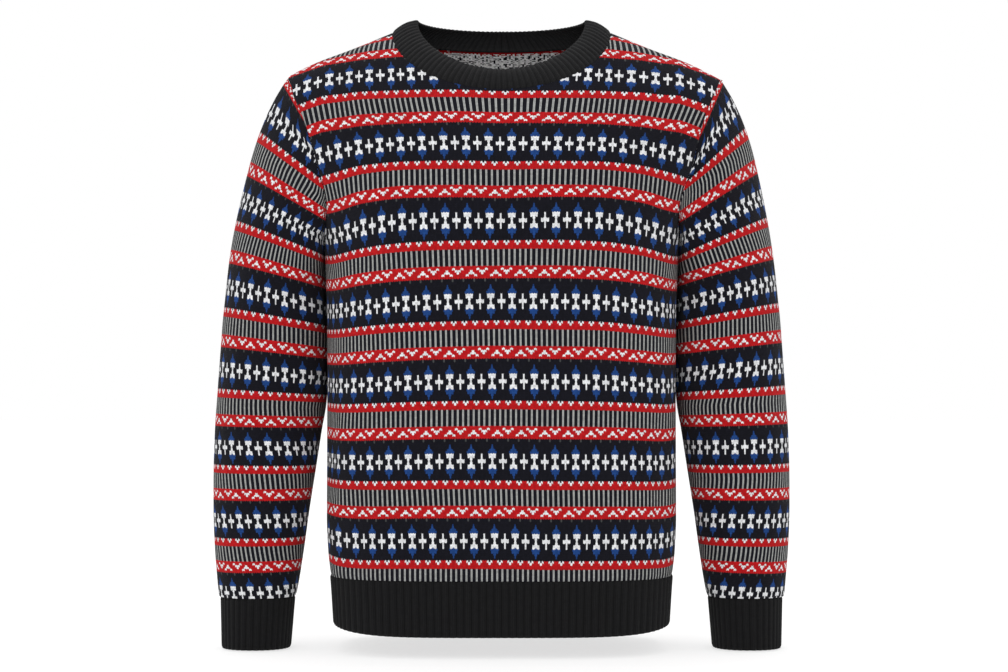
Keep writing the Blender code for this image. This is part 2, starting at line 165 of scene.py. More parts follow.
def halfRow(z, side, shares):  # points of a level row from the middle to the side seam
    width = smoothCurve(body["height"], body["width"], z)
    square = smoothCurve(body["height"], body["square"], z)
    x = width * squircle(np.linspace(0, math.pi / 2, cloth["linePoints"]), square)[0]
    line = bodyPoint(x, z, side)
    lengths = lengthsAlong(line)
    wanted = (lengths[-1] - cloth["seamGap"] / 2) * shares
    return np.stack([np.interp(wanted, lengths, line[:, k]) for k in range(3)], axis=-1)


def lengthsAlong(line):
    steps = np.linalg.norm(np.diff(line, axis=0), axis=-1)
    return np.concatenate([np.zeros((1,) + steps.shape[1:]), np.cumsum(steps, axis=0)])


def lengthsLeft(line):
    return lengthsAlong(line[::-1])[::-1]


def fromEnds(line):  # distance along a line to its nearer end
    return np.minimum(lengthsAlong(line), lengthsLeft(line))


def addUp(steps):  # along each row, from 0
    return np.concatenate([np.zeros((len(steps), 1)), np.cumsum(steps, axis=1)], axis=1)


def unit(vectors):
    return vectors / np.maximum(np.linalg.norm(vectors, axis=-1, keepdims=True), 1e-9)


def gridShares(length, pitch, fineStart, fineEnd):  # places along an edge, closer together at seams
    fine = np.array(cloth["fineSteps"])
    start = fine if fineStart else fine[:1]
    end = length - (fine if fineEnd else fine[:1])[::-1]
    count = max(2, round((end[0] - start[-1]) / pitch))
    middle = np.linspace(start[-1], end[0], count + 1)[1:-1]
    return np.concatenate([start, middle, end]) / length


def surfaceNormals(points, closed=False):
    across = np.gradient(points, axis=1)
    if closed:  # the first and the last column are one line
        across[:, 0] = across[:, -1] = (points[:, 1] - points[:, -2]) / 2
    return unit(np.cross(across, np.gradient(points, axis=0)))


# the way that the rows and columns of stitches run over a piece

def evenBands(rows):  # from even rows to the rows of the chart
    turns = np.floor(rows / knit["repeat"])
    place = np.interp(rows - turns * knit["repeat"], knit["bandPlaces"], knit["bandStarts"])
    return turns * knit["repeat"] + place


def stitchColumns(points, courses, stitchWidth):  # square to the rows, counted from the first point
    across, up = np.gradient(points, axis=1), np.gradient(points, axis=0)
    acrossRows, upRows = np.gradient(courses, axis=1), np.gradient(courses, axis=0)
    along = unit(across * upRows[..., None] - up * acrossRows[..., None])
    along *= np.sign(np.sum(along * across, axis=-1, keepdims=True))
    middle = (along[:, 1:] + along[:, :-1]) / 2
    width = (stitchWidth[:, 1:] + stitchWidth[:, :-1]) / 2
    return addUp(np.sum(np.diff(points, axis=1) * middle, axis=-1) / width)


panelCourses = {
    "atHeight": -160.0,
    "course": 62.35,  # the row at that height, in the middle
    "shoulderStart": 198.0,  # beyond this the rows slope down towards the shoulder tip
    "shoulderSlope": 0.3,
    "sideShare": 0.975,  # of the half width, beyond which the rows run level round the side
    "tableWidth": 262.0,  # of the table of lengths down the cloth
    "tableColumns": 80,
    "tableDepth": 744.0,
    "tableLines": 500,
    "backSag": {"depth": 8.5, "from": -130, "rise": 90, "reach": 176, "fade": 110},  # below the neck
    "sagPlaces": [-198, -180, -150, -100, -50, 0, 50, 100, 150, 180, 198],  # + is the wearer's left
    "sag": {  # mm that the rows sag there, at each height
        -600: [-1, 0, 0.5, 0, 0, 0, 1, 1, 1, 2, 3],
        -510: [2, 1, 1, 0.5, 0, 0, 1, 1, 1.5, 2.5, 3.5],
        -420: [5.5, 4, 3, 1.5, 0.5, 0, 0.5, 1, 2.5, 4.5, 6],
        -335: [10.5, 8, 5, 2, 0.5, -0.5, 0, 0.5, 4, 7.5, 10.5],
        -250: [15.5, 11.5, 5.5, 1.5, 0, -0.5, -1, 0, 4, 11, 16.5],
        -200: [13, 9, 2, -2, -2, -1, -2.5, -3, 1, 7.5, 11.5],
        -120: [6, 3.5, -0.5, -2.5, -3, -1.5, -2, -2, 0.5, 4.5, 6.5],
        -50: [-1, -3, -6, -6, -4.5, -1.5, -3, -5, -5, -2.5, -2],
    },
    "stitchHeight": [-667, -590, -500, -420, -320, -235, -150, -100, -50],
    "stitch": [2.78, 2.78, 2.83, 2.84, 2.84, 2.95, 3.04, 3.18, 3.38],
    "pullPlaces": [-188, -175, -160, -130, -90, 0, 90, 130, 160, 175, 188],
    "pull": {  # stitches that the columns are drawn to the wearer's right there
        -564: [1, -0.7, -1.5, -0.5, -0.5, -0.2, 0.3, 1.3, 2.8, 4.7, 4.5],
        -478: [-6, -0.9, -0.9, -0.5, 0.2, 0.2, 0.8, 1.8, 3.1, 4.8, 4],
        -394: [-7, -3, -1.9, -0.7, -0.1, -0.1, 0.3, 1.3, 2.4, 3, 3.6],
        -307: [-6, -2.8, -1.5, -0.1, 0.2, 0, 0, 0.5, 1.6, 2.2, 4.8],
        -219: [-0.9, -1, -0.9, -0.3, -0.1, -0.1, -0.1, 0.2, 0.6, 0.2, -0.6],
        -139: [-0.8, -0.6, -0.6, -0.4, -0.3, -0.2, -0.9, -1, -0.4, 0, 0.3],
        -66: [-0.2, 0.7, 1.7, 3, 2.7, 0.2, -2.5, -3, -3, -3, -3],
    },
    "leanHeight": [-563, -137],
    "lean": [3.2, -2.15],  # mm that the middle column of stitches leans out of line
}


def betweenLines(heights, lines, z):  # from one line of a table to the next
    level = np.clip(np.interp(z, heights, np.arange(len(lines))), 0, len(lines) - 1.001)
    low = level.astype(int)
    below, above = (np.take_along_axis(lines, one[None], axis=0)[0] for one in (low, low + 1))
    return below, above, level - low


def fromTable(places, table, x, z):  # a value smoothed between the table's places and heights
    lines = np.stack([smoothCurve(places, line, x) for line in table.values()])
    below, above, share = betweenLines(list(table), lines, z)
    return below + (above - below) * fade(share)


def tableOfLengths(side):  # down the cloth from atHeight, by place and by drop from the shoulder
    at = panelCourses
    xs = np.linspace(0, at["tableWidth"], at["tableColumns"])
    drops = np.linspace(0, 1, at["tableLines"]) ** 2 * at["tableDepth"]
    points = bodyPoint(xs[:, None], ridgeHeight(xs)[:, None] - drops[None, :], side)
    lengths = lengthsAlong(points.transpose(1, 0, 2)).T
    levels = ridgeHeight(xs) - at["atHeight"]
    starts = [np.interp(level, drops, line) for level, line in zip(levels, lengths)]
    return lengths - np.array(starts)[:, None]


def lengthDown(x, z, side):  # read from that table
    at = panelCourses
    lengths = tableOfLengths(side)
    drop = np.clip((ridgeHeight(x) - z) / at["tableDepth"], 0, 1)
    place, level = x / at["tableWidth"] * (at["tableColumns"] - 1), np.sqrt(drop) * (at["tableLines"] - 1)
    i = np.clip(place.astype(int), 0, at["tableColumns"] - 2)
    j = np.clip(level.astype(int), 0, at["tableLines"] - 2)
    a, b = place - i, level - j
    nearer = (1 - b) * lengths[i, j] + b * lengths[i, j + 1]
    further = (1 - b) * lengths[i + 1, j] + b * lengths[i + 1, j + 1]
    return (1 - a) * nearer + a * further


def panelRows(points, side, hand):  # number of the row of stitches at each point of half a panel
    at = panelCourses
    x, z = np.abs(points[..., 0]), points[..., 2]
    z = z + at["shoulderSlope"] * np.maximum(x - at["shoulderStart"], 0)
    x = np.minimum(x, at["shoulderStart"])
    x = np.minimum(x, at["sideShare"] * smoothCurve(body["height"], body["width"], z))
    sag = fromTable(at["sagPlaces"], at["sag"], hand * x, z)
    if side == back:  # the same on both halves, and lower under the neck
        sag = (sag + fromTable(at["sagPlaces"], at["sag"], -hand * x, z)) / 2
        low = at["backSag"]
        upwards, inwards = (z - low["from"]) / low["rise"], (low["reach"] - x) / low["fade"]
        sag = sag + low["depth"] * fade(upwards) * fade(inwards)
    return at["course"] + (lengthDown(x, z, side) - sag) / knit["course"]


sleeveCourses = {  # lines that the rows of stitches follow, from the outer line in towards the body
    "course": [-9.5, 5.5, 15, 26.5, 39, 75, 111, 147, 183, 219],
    "outer": [247, 247, 247, 276, 289, 308, 317, 321, 322, 320],
    "height": {
        right: [-18, -54, -99.5, -113.5, -150.5, -251, -345.5, -434.5, -516.5, -596.5],
        left: [-18, -61, -99.5, -113, -149, -246.5, -340.5, -432, -516, -597.5],
    },
    "slope": {
        right: [1.75, 1.75, 0.98, 0.77, 0.61, 0.27, 0.12, 0.02, 0, -0.01],
        left: [2.2, 2.2, 1.5, 0.84, 0.67, 0.29, 0.12, 0.03, 0, -0.02],
    },
    "stitchHeight": [-620, -480, -380, -250],
    "stitch": [2.85, 2.8, 2.55, 2.5],
    "innerStretch": [1.0, 1.0, 0.6, 0.35],  # how much of its depth the inner side shows in stitches
    "spreadPlaces": [48, 92, 135],  # mm round the arm from its outer line
    "spread": {  # how much wider or narrower the stitches are drawn there, by the row
        right: {
            15: [1.75, 1.75, 1.75],
            32: [1.25, 1.38, 1.42],
            51: [1.1, 0.93, 0.74],
            87: [1, 1.01, 1.04],
            123: [0.99, 1.03, 0.95],
            140: [0.93, 1, 0.83],
            176: [0.89, 1.01, 0.9],
            212: [0.88, 0.93, 0.85],
        },
        left: {
            15: [1.9, 1.95, 1.95],
            32: [1.25, 1.35, 1.6],
            51: [1.14, 1.05, 1.15],
            87: [0.97, 1, 1.04],
            123: [0.91, 0.98, 0.88],
            140: [0.93, 1.04, 0.8],
            176: [0.77, 0.96, 0.9],
            212: [0.73, 0.97, 0.86],
        },
    },
    "spreadMark": 4.0,  # mm between the places where those are added up
    "spreadEnd": 260.0,
    "phaseRows": [0, 15, 51, 87, 123, 159, 195, 229],
    "phase": {  # stitches that the columns are moved there
        right: [7.5, 4.9, -2.3, -0.3, -0.2, -0.65, -3.3, -4.5],
        left: [7.1, 5.2, -4.0, 0.1, -1.85, -3.1, -5.7, -6.2],
    },
}


def sleeveColumns(points, rows, hand, middle):  # down the arm like its outer line
    at = sleeveCourses
    slope = np.interp(rows, at["course"], at["slope"][hand])
    steps, between = np.diff(points, axis=1), (slope[:, 1:] + slope[:, :-1]) / 2
    inner = np.arange(points.shape[1] - 1) - middle
    height = (points[:, 1:, 2] + points[:, :-1, 2]) / 2
    pulled = np.interp(height, at["stitchHeight"], at["innerStretch"])
    stretch = np.where(np.abs(inner) > middle / 2, pulled, 1.0)
    total = addUp(np.sqrt((1 + between**2) * steps[..., 0] ** 2 + (steps[..., 1] * stretch) ** 2))
    fromOuter = total - total[:, middle:middle + 1]
    outer = points[:, middle]
    further = np.interp(-points[..., 2], -outer[:, 2], outer[:, 0]) - outer[:, :1]
    distance = np.maximum(np.abs(fromOuter) + further * np.sqrt(1 + slope**2), 0)
    marks = np.arange(0, at["spreadEnd"], at["spreadMark"])
    counts = []
    for line in at["spread"][hand].values():
        spread = np.interp(marks + at["spreadMark"] / 2, at["spreadPlaces"], line)
        added = np.concatenate([[0], np.cumsum(at["spreadMark"] / spread)[:-1]])
        counts.append(np.interp(distance, marks, added))
    below, above, share = betweenLines(list(at["spread"][hand]), np.stack(counts), rows)
    stitch = np.interp(points[..., 2], at["stitchHeight"], at["stitch"])
    phase = np.interp(rows, at["phaseRows"], at["phase"][hand])
    return np.sign(fromOuter) * (below + (above - below) * share) / stitch + phase


def sleeveRows(points, hand):
    x, z = np.abs(points[..., 0]), points[..., 2]
    course = sleeveCourses["course"]
    sizes = zip(sleeveCourses["outer"], sleeveCourses["height"][hand], sleeveCourses["slope"][hand])
    lines = [height - slope * (outer - x) for outer, height, slope in sizes]
    rows = course[0] + (lines[0] - z) / knit["course"]
    for k in range(len(course) - 1):
        share = (lines[k] - z) / (lines[k] - lines[k + 1])
        last = k == len(course) - 2
        between = course[k] + (share if last else np.minimum(share, 1)) * (course[k + 1] - course[k])
        rows = np.where(share > 0, between, rows)
    return rows


# making a piece from its grid of points

def makeCloth(name, node, points, stitches, wall, finishes, closed=False):
    rows, columns = points.shape[:2]
    mesh = bmesh.new()
    layer = mesh.loops.layers.uv.new("stitches")
    bmesh.ops.create_grid(mesh, x_segments=columns - 1, y_segments=rows - 1, size=1)
    places = np.array([v.co[:2] for v in mesh.verts])
    j = np.rint((places[:, 0] + 1) / 2 * (columns - 1)).astype(int)
    i = np.rint((places[:, 1] + 1) / 2 * (rows - 1)).astype(int)
    placed, mapped = (points * mm)[i, j], stitches[i, j]
    for v, place in zip(mesh.verts, placed):
        v.co = place
    for face in mesh.faces:
        face.smooth = True
        for loop in face.loops:
            loop[layer].uv = mapped[loop.vert.index]
    if closed:  # edges that lie on each other are joined
        edge = [v for v in mesh.verts if v.is_boundary]
        bmesh.ops.remove_doubles(mesh, verts=edge, dist=cloth["joinDistance"] * mm)
    data = bpy.data.meshes.new(name)
    mesh.to_mesh(data)
    mesh.free()
    for finish in finishes:
        data.materials.append(finish)
    piece = bpy.data.objects.new(name, data)
    bpy.context.scene.collection.objects.link(piece)
    if wall:
        thick = piece.modifiers.new("wall", "SOLIDIFY")
        thick.thickness = wall * mm
        thick.offset = -1
        thick.use_quality_normals = True
        thick.material_offset = len(finishes) - 1
        thick.material_offset_rim = len(finishes) - 1
    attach(piece, "root")
    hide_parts(node)
    print("made", name, len(data.polygons), "faces")
    return piece


def sink(points, normals, distance, fromArmhole):  # towards a seam the cloth turns in
    depth = cloth["seamDip"] * np.exp(-((distance / cloth["seamReach"]) ** 2))
    way = unit(points - np.array(armhole["middle"]) * np.where(points[..., :1] < 0, (-1, 1, 1), 1))
    share = np.exp(-((fromArmhole / cloth["seamReach"]) ** 2))[..., None]
    way = normals * (1 - share) + way * share  # at the armhole both pieces sink the same way
    return points - way * depth[..., None]


def press(points, normals, creases):  # soft troughs, and ridges where the depth is below 0
    total = np.zeros(points.shape[:2])
    for x, z, angle, length, width, depth, bend in creases:
        dx, dz = points[..., 0] - x, points[..., 2] - z
        turn = math.radians(angle)
        along = dx * math.cos(turn) + dz * math.sin(turn)
        across = -dx * math.sin(turn) + dz * math.cos(turn)
        across = across - bend * (along / length) ** 2
        ends = fade(1 - np.abs(along) / length)
        total += depth * ends * np.exp(-((across / width) ** 2))
    return points - normals * total[..., None]


def chartPlaces(columns, rows):  # of the points in the chart of the pattern
    return np.stack([columns + knit["firstColumn"], evenBands(rows) + knit["firstRow"]], axis=-1)


# front and back

panelGrid = {
    "rowLength": 262,  # of half a row
    "yokeRows": 110,  # above the underarm
    "farFromSeam": 99.0,
}
panelCreases = {  # x, z, angle, length, width, depth, bend
    front: [
        [170, -236, 32, 60, 9, 2.2, 6],
        [-168, -240, 148, 66, 10, 2.0, 5],
        [176, -205, 50, 48, 8, 1.7, 0],
        [-176, -200, 128, 44, 8, 1.8, 0],
        [150, -278, 14, 70, 13, -1.6, 0],
        [-146, -284, 168, 64, 14, -1.4, 0],
        [120, -560, 84, 60, 16, 1.6, 0],
        [-96, -548, 95, 70, 18, 1.4, 0],
    ],
    back: [
        [172, -238, 30, 64, 10, 2.4, 5],
        [-170, -232, 150, 60, 9, 2.1, 6],
        [60, -330, 8, 90, 16, 1.8, 0],
        [-70, -372, 172, 84, 15, 1.6, 0],
        [20, -420, 2, 110, 18, -1.5, 0],
        [-110, -552, 88, 66, 17, 1.5, 0],
        [92, -560, 94, 60, 16, 1.6, 0],
    ],
}


def neckline(share, side):  # from the middle at 0 to the shoulder at 1
    across, along = squircle(math.pi / 2 * share, neck["square"][side])
    top = ridgeHeight(neck["halfWidth"])
    return bodyPoint(neck["halfWidth"] * across, top - (top - neck["bottom"][side]) * along, side)


def armholePoint(share, side, hand):
    tip = ridgeHeight(body["shoulderTip"])
    z = body["underarm"] + share * (tip - body["underarm"])
    reach = smoothCurve(armhole["share"], armhole["reach"], share)
    reach = reach + smoothCurve(armhole["easeShare"], armhole["ease"][hand], share)
    if side == back:
        reach = reach + armhole["backEase"] * np.sin(math.pi * share)
    point = bodyPoint(reach, z, side)
    point[..., 1] = side * np.maximum(np.abs(point[..., 1]), cloth["seamGap"] / 2)
    return point


def topEdge(shares, side, hand):  # the neckline, then the shoulder seam out to its tip
    onNeck = shares < neck["columnShare"]
    line = neckline(np.minimum(shares / neck["columnShare"], 1), side)
    out = (shares - neck["columnShare"]) / (1 - neck["columnShare"])
    tip = body["shoulderTip"] + armhole["ease"][hand][-1]
    x = neck["halfWidth"] + (tip - neck["halfWidth"]) * np.clip(out, 0, 1)
    seam = np.stack([x, np.full_like(x, side * cloth["seamGap"] / 2), ridgeHeight(x)], axis=-1)
    return np.where(onNeck[:, None], line, seam)


def halfPoints(side, hand):  # a grid over half a panel, as if it were on the wearer's left
    shares = gridShares(panelGrid["rowLength"], cloth["pitch"], False, True)
    hemSeam, underarm = body["ribTop"] + cloth["seamGap"], body["underarm"]
    low = gridShares(underarm - body["ribTop"], cloth["pitch"], True, False)
    rows = [halfRow(z, side, shares) for z in hemSeam + (underarm - hemSeam) * low]
    bottom, top = rows[-1], topEdge(shares, side, hand)
    for share in np.sin(math.pi / 2 * np.linspace(0, 1, panelGrid["yokeRows"] + 1))[1:-1]:
        edge = armholePoint(share, side, hand)
        pull = edge[0] - bottom[-1, 0] * (1 - share) - top[-1, 0] * share
        x = bottom[:, 0] * (1 - share) + top[:, 0] * share + pull * shares**2
        z = bottom[:, 2] * (1 - share) + top[:, 2] * share
        row = bodyPoint(x, z, side)
        row[-1] = edge
        rows.append(row)
    return np.array(rows + [top])


def halfPanel(side, hand):  # points, rows, columns, and how far from the seams they are
    half = halfPoints(side, hand)
    rows = panelRows(half, side, hand)
    width = smoothCurve(panelCourses["stitchHeight"], panelCourses["stitch"], half[..., 2])
    columns = stitchColumns(half, rows, width)
    if side == front:
        pull = fromTable(panelCourses["pullPlaces"], panelCourses["pull"], hand * half[..., 0], half[..., 2])
        columns = columns + hand * pull
    lean = np.interp(half[..., 2], panelCourses["leanHeight"], panelCourses["lean"]) / width
    fromSide = lengthsLeft(half.transpose(1, 0, 2)).T
    distance = np.minimum(fromSide, fromEnds(half))
    belowArmhole = half[:, -1:, 2] < body["underarm"] - cloth["seamGap"]
    fromArmhole = np.where(belowArmhole, panelGrid["farFromSeam"], fromSide)
    half[..., 0] *= hand
    return half, rows, hand * columns - lean, distance, fromArmhole


def makePanel(name, side, node):
    joined = zip(halfPanel(side, right), halfPanel(side, left))
    parts = [np.concatenate([one[:, :0:-1], other], axis=1) for one, other in joined]
    if side == back:  # its outside is seen from the other way
        parts = [part[:, ::-1] for part in parts]
        parts[2] = -parts[2]
    points, rows, columns, distance, fromArmhole = parts
    normals = surfaceNormals(points)
    points = press(sink(points, normals, distance, fromArmhole), normals, panelCreases[side])
    stitches = chartPlaces(columns, rows)
    finishes = [fairIsleOutside, fairIsleInside]
    return makeCloth(name, node, points, stitches, cloth["wall"], finishes)


# sleeves and cuffs

arm = {
    "sections": [  # outer line, its height, inner line, its height, half depth, how far forward
        [249, -50.6, 199.6, -250.6, 60, 2],
        [263.5, -75, 199.8, -256.5, 62, 1],
        [275.5, -102, 199.8, -262.5, 63.5, -1],
        [285, -132, 199.5, -269.5, 64.5, -3],
        [292.5, -165, 199, -277.5, 65, -4.5],
        [299, -198, 198.5, -287, 64.5, -5.5],
        [304.6, -231, 198.1, -298, 64, -6],
        [309, -264, 197.6, -312, 63, -6],
        [312.5, -298, 197, -330, 62, -6],
        [315.6, -334, 196.4, -353, 60.5, -5.5],
        [318.4, -371, 196.2, -381, 58.5, -4.5],
        [320.8, -409, 198, -413, 56, -2.5],
        [322.9, -448, 203.5, -449, 53, 0.5],
        [323.7, -490, 209.5, -490, 50, 3.5],
        [323.3, -534, 216, -534, 46.5, 6.5],
        [321.3, -578, 221.8, -578, 42.5, 8.5],
        [318.3, -612, 226.8, -612, 39.3, 10],
        [316.6, -631, 230.2, -631, 37.3, 11],
    ],
    "cuffSections": [[313.6, -631.3, 232.2, -631.3, 36.5, 11], [312, -688.3, 236.8, -688.3, 33, 12.5]],
    "cuffLength": 58,
    "cuffRibs": 36,
    "square": 2.2,
    "easeSections": 7,  # over which the armhole's shape runs out into the arm's
    "girth": 430,
    "pitch": 3.3,
    "startSteps": [0, 0.03, 0.08, 0.15, 0.25],  # places along the arm, in sections
    "evenSteps": [0.36, 16.8, 170],  # first, last and how many
    "endSteps": [16.9, 16.97, 17],
    "seamOffset": [0.18, 0, -0.12],  # from the armhole's edge
}

sleeveCreases = [  # x, z, angle, length, width, depth, bend
    [236, -372, 168, 46, 8, 1.9, 4],
    [232, -402, 176, 40, 7, 1.6, -3],
    [240, -436, 8, 44, 9, 1.7, 0],
    [296, -350, 70, 60, 12, -1.2, 0],
    [222, -290, 150, 44, 8, 1.9, 5],
    [262, -600, 3, 34, 7, 1.3, 0],
]


def armRing(section, angles):
    outer, outerZ, inner, innerZ, depth, forward = section
    along, across = squircle(angles, arm["square"])
    x = (outer + inner) / 2 + (outer - inner) / 2 * across
    z = (outerZ + innerZ) / 2 + (outerZ - innerZ) / 2 * across
    return np.stack([x, front * (forward + depth * along), z], axis=-1)


def sleevePoints(steps, angles, hand):
    share = (1 - np.cos(math.pi * (1 - np.abs(angles) / math.pi))) / 2
    onFront = (angles >= 0)[:, None]
    seam = np.where(onFront, armholePoint(share, front, hand), armholePoint(share, back, hand))
    seam = seam + np.array(arm["seamOffset"])
    sections = np.array(arm["sections"])
    first = armRing(sections[0], angles)
    rings = []
    for step in steps:
        section = [float(smoothCurve(range(len(sections)), sizes, step)) for sizes in sections.T]
        kept = float(fade(1 - step / arm["easeSections"]))
        rings.append(armRing(section, angles) + (seam - first) * kept)
    return np.array(rings)


def ribShape(phase):  # broad rounded ribs with narrower grooves, highest at half a turn
    return 1 - np.abs(np.cos(math.pi * phase)) ** 3


def makeSleeve(name, hand, node):
    angles = (gridShares(arm["girth"], arm["pitch"], True, True) * 2 - 1) * math.pi
    steps = np.concatenate([arm["startSteps"], np.linspace(*arm["evenSteps"]), arm["endSteps"]])
    points = sleevePoints(steps, angles, hand)
    rows = sleeveRows(points, hand)
    columns = sleeveColumns(points, rows, hand, int(np.argmin(np.abs(angles))))
    distance = np.minimum(fromEnds(points.transpose(1, 0, 2)).T, fromEnds(points))
    normals = surfaceNormals(points, closed=True)
    points = press(sink(points, normals, distance, lengthsAlong(points)), normals, sleeveCreases)
    if hand == right:
        points, rows, columns = (part[:, ::-1].copy() for part in (points, rows, columns))
        points[..., 0] *= -1
        columns = -columns
    stitches = chartPlaces(columns, rows)
    finishes = [fairIsleOutside, fairIsleInside]
    return makeCloth(name, node, points, stitches, cloth["wall"], finishes, closed=True)


def ribPlaces(phase, lengths):  # two columns of stitches to a rib
    columns = phase * 2 + ribKnit["firstColumn"]
    rows = lengths / ribKnit["course"] + ribKnit["firstRow"]
    return np.stack(np.broadcast_arrays(columns, rows), axis=-1)


def raiseRibs(points, normals, phase, dip):
    return points + normals * (cloth["ribHeight"] * ribShape(phase) - dip)[..., None]


def endDip(distance):
    return ribKnit["endDip"] * np.exp(-((distance / ribKnit["endReach"]) ** 2))


def makeCuff(name, hand, node):
    angles = np.linspace(-math.pi, math.pi, arm["cuffRibs"] * ribKnit["pointsPerRib"] + 1)
    shares = gridShares(arm["cuffLength"], ribKnit["pitch"], True, True)
    top, bottom = np.array(arm["cuffSections"])
    points = np.array([armRing(top + (bottom - top) * share, angles) for share in shares])
    phase = angles / (2 * math.pi) * arm["cuffRibs"]
    dip = endDip(np.minimum(shares, 1 - shares) * arm["cuffLength"])[:, None]
    points = raiseRibs(points, surfaceNormals(points, closed=True), phase, dip)
    if hand == right:
        points = points[:, ::-1].copy()
        points[..., 0] *= -1
    stitches = ribPlaces(phase, shares[:, None] * arm["cuffLength"])
    return makeCloth(name, node, points, stitches, cloth["ribWall"], [darkRib], closed=True)


# hem ribs and neckband

hem = {
    "bottom": -666.2,
    "length": 61,
    "toSide": 260,  # along the cloth, from the middle
    "lift": 7.0,  # of its bottom edge towards the sides
    "liftPower": 6,
    "ribs": 64,
}
band = {
    "topHalfWidth": 96.0,
    "topSide": 18.0,
    "topSquare": 1.85,
    "top": {front: -48.9, back: 13.7},
    "depth": {front: 68.0, back: 52.0},
    "height": 30.0,
    "bulge": 3.0,
    "bulgePlace": 0.55,
    "ribsPerQuarter": 27,
    "outside": [0, 0.02, 0.05] + [0.1 + 0.86 * k / 11 for k in range(12)],  # shares of the height
    "fold": 0.98,
    "foldAngles": [0.15 + 0.7 * k / 5 for k in range(6)],  # in half turns
    "foldRelief": 0.5,
    "inside": [0.96 - 0.91 * k / 9 for k in range(10)] + [0, -0.05, -0.1],
    "insideRelief": -0.9,
    "tuckedWall": 1.25,  # how much further in the cloth lies below the seam
}


def makeHem(name, side, node):
    places = np.linspace(-1, 1, hem["ribs"] * ribKnit["pointsPerRib"] + 1)
    shares = gridShares(hem["length"], ribKnit["pitch"], True, True)
    top = body["ribTop"] - cloth["seamGap"]
    rows = []
    for share in shares:
        row = halfRow(top + (hem["bottom"] - top) * share, side, np.abs(places))
        row[:, 0] *= np.sign(places)
        row[:, 2] += share * hem["lift"] * np.abs(row[:, 0] / row[-1, 0]) ** hem["liftPower"]
        rows.append(row)
    points = np.array(rows)[::-1]
    if side == back:
        points = points[:, ::-1]
    phase = (places + 1) / 2 * hem["ribs"]
    fromEnd = (np.minimum(shares, 1 - shares) * hem["length"])[::-1]
    sideways = np.minimum(1 - np.abs(places), 1) * hem["toSide"]
    sideDip = ribKnit["sideDip"] * np.exp(-((sideways / ribKnit["sideReach"]) ** 2))
    points = raiseRibs(points, surfaceNormals(points), phase, endDip(fromEnd)[:, None] + sideDip)
    stitches = ribPlaces(phase, shares[::-1, None] * hem["length"])
    return makeCloth(name, node, points, stitches, cloth["ribWall"], [darkRib])


def bandEdges(turns):  # the band's seam and its top, once round the neck in four quarters
    seam, top = [], []
    for turn in turns:
        quarter, share = int(turn % 4), turn % 1
        side = front if quarter in (0, 3) else back
        hand = 1 if quarter < 2 else -1
        if quarter in (1, 3):
            share = 1 - share
        point = neckline(np.array(share), side)
        seam.append([hand * point[0], point[1], point[2]])
        across, along = squircle(math.pi / 2 * share, band["topSquare"])
        y = side * band["depth"][side] * math.cos(math.pi / 2 * share)
        z = band["topSide"] + (band["top"][side] - band["topSide"]) * along
        top.append([hand * band["topHalfWidth"] * across, y, z])
    return np.array(seam), np.array(top)


def makeNeckband(name, node):
    turns = np.linspace(0, 4, 4 * band["ribsPerQuarter"] * ribKnit["pointsPerRib"] + 1)
    seam, top = bandEdges(turns)
    rise = top - seam
    up = rise / np.linalg.norm(rise, axis=-1, keepdims=True)
    along = np.empty_like(seam)
    along[1:-1] = seam[2:] - seam[:-2]
    along[0] = along[-1] = seam[1] - seam[-2]
    outward = unit(np.cross(along, rise))
    relief = cloth["ribHeight"] * ribShape(turns * band["ribsPerQuarter"])[:, None]

    def bandRow(share, out, ribs):
        place = band["bulgePlace"]
        reach = place if share < place else 1 - place
        bulge = band["bulge"] * max(1 - ((share - place) / reach) ** 2, 0)
        return seam + rise * share + up * cloth["seamGap"] + outward * (bulge + out + relief * ribs)

    rows = [bandRow(share, -endDip(share * band["height"]), 1.0) for share in band["outside"]]
    half = cloth["bandWall"] / 2
    for angle in np.array(band["foldAngles"]) * math.pi:
        over, out = math.sin(angle), math.cos(angle)
        line = seam + rise * band["fold"] + outward * half * (out - 1) + up * half * over
        rows.append(line + relief * (outward * out + up * over * band["foldRelief"]))
    for share in band["inside"]:
        wall = cloth["bandWall"] * (1.0 if share > 0 else band["tuckedWall"])
        rows.append(bandRow(max(share, 0), -wall, band["insideRelief"]) + rise * min(share, 0))
    points = np.array(rows + rows[:1])
    stitches = ribPlaces(turns * band["ribsPerQuarter"], lengthsAlong(points)[:, :1])
    return makeCloth(name, node, points, stitches, 0, [neckRibPaintedLight], closed=True)


# finishes

class Value:  # a socket that takes part in sums
    def __init__(self, finish, socket):
        self.finish, self.socket = finish, socket

    def __add__(self, other):
        return self.finish.math("ADD", self, other)

    def __sub__(self, other):
        return self.finish.math("SUBTRACT", self, other)

    def __rsub__(self, other):
        return self.finish.math("SUBTRACT", other, self)

    def __mul__(self, other):
        return self.finish.math("MULTIPLY", self, other)

    def __mod__(self, other):
        return self.finish.math("FLOORED_MODULO", self, other)

    def __lt__(self, other):
        return self.finish.math("LESS_THAN", self, other)

    def __gt__(self, other):
        return self.finish.math("GREATER_THAN", self, other)

    def __pow__(self, other):
        return self.finish.math("POWER", self, other)

    def __abs__(self):
        return self.finish.math("ABSOLUTE", self)

    __radd__ = __add__
    __rmul__ = __mul__


